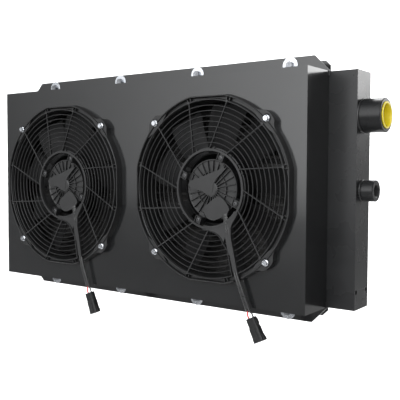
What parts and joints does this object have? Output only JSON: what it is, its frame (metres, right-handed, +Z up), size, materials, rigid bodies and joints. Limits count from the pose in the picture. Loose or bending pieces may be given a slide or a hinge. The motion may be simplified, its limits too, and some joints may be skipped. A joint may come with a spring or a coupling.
{
  "type": "hydraulic oil cooler",
  "caption": "Plate-fin oil cooler with two guarded suction fans on a folded sheet shroud, side tanks, round oil ports, mounting channels and short fan leads with plugs.",
  "frame": {"origin": "centre of the four rear mounting holes, on the back face of the mounting channels", "axes": "+X along the core from the left tank to the right tank, +Y through the core from the fans to the back, +Z up"},
  "size_m": [0.9234, 0.1505, 0.4856],
  "materials": {
    "black_paint": "gloss",
    "painted_aluminium": "gloss",
    "black_plastic": "satin",
    "zinc_steel": "satin",
    "yellow_plastic": "gloss",
    "motor_steel": "satin",
    "magnet_ceramic": "matte",
    "brush_carbon": "matte",
    "wound_iron": "satin",
    "commutator_brass": "satin",
    "black_rubber": "matte",
    "cable_jacket": "satin",
    "red_insulation": "satin",
    "black_insulation": "satin",
    "connector_plastic": "satin"
  },
  "bodies": {
    "cooler": {"bottom_channel": "black_paint", "core_air_fins": "painted_aluminium", "core_end_bars": "painted_aluminium", "core_oil_tubes": "painted_aluminium", "core_side_plates": "painted_aluminium", "fan_nuts": "zinc_steel", "fan_screws": "zinc_steel", "fan_shroud": "black_paint", "fan_washers": "zinc_steel", "inlet_boss": "painted_aluminium", "inlet_plug": "yellow_plastic", "left_black_lead": "black_insulation", "left_cable_grommet": "black_rubber", "left_connector_body": "connector_plastic", "left_connector_lock": "connector_plastic", "left_fan_cable": "cable_jacket", "left_fan_guard": "black_plastic", "left_fan_housing": "black_plastic", "left_motor_bearings": "motor_steel", "left_motor_brushes": "brush_carbon", "left_motor_case": "motor_steel", "left_motor_magnets": "magnet_ceramic", "left_motor_rear_cover": "black_plastic", "left_red_lead": "red_insulation", "left_tank": "painted_aluminium", "motor_screws": "zinc_steel", "outlet_boss": "painted_aluminium", "outlet_plug": "yellow_plastic", "right_black_lead": "black_insulation", "right_cable_grommet": "black_rubber", "right_connector_body": "connector_plastic", "right_connector_lock": "connector_plastic", "right_fan_cable": "cable_jacket", "right_fan_guard": "black_plastic", "right_fan_housing": "black_plastic", "right_motor_bearings": "motor_steel", "right_motor_brushes": "brush_carbon", "right_motor_case": "motor_steel", "right_motor_magnets": "magnet_ceramic", "right_motor_rear_cover": "black_plastic", "right_red_lead": "red_insulation", "right_tank": "painted_aluminium", "sensor_boss": "painted_aluminium", "shroud_bolts": "zinc_steel", "shroud_nuts": "zinc_steel", "shroud_washers": "zinc_steel", "top_channel": "black_paint"},
    "left_rotor": {"left_fan_shaft": "motor_steel", "left_impeller": "black_plastic", "left_impeller_nut": "zinc_steel", "left_motor_armature": "wound_iron", "left_motor_commutator": "commutator_brass"},
    "right_rotor": {"right_fan_shaft": "motor_steel", "right_impeller": "black_plastic", "right_impeller_nut": "zinc_steel", "right_motor_armature": "wound_iron", "right_motor_commutator": "commutator_brass"}
  },
  "joints": [
    {"name": "left_fan_spin", "type": "hinge", "parent": "cooler", "child": "left_rotor", "pos_m": [-0.1865, -0.1, 0], "axis": [0, 1, 0], "continuous": true},
    {"name": "right_fan_spin", "type": "hinge", "parent": "cooler", "child": "right_rotor", "pos_m": [0.1865, -0.1, 0], "axis": [0, 1, 0], "continuous": true}
  ]
}
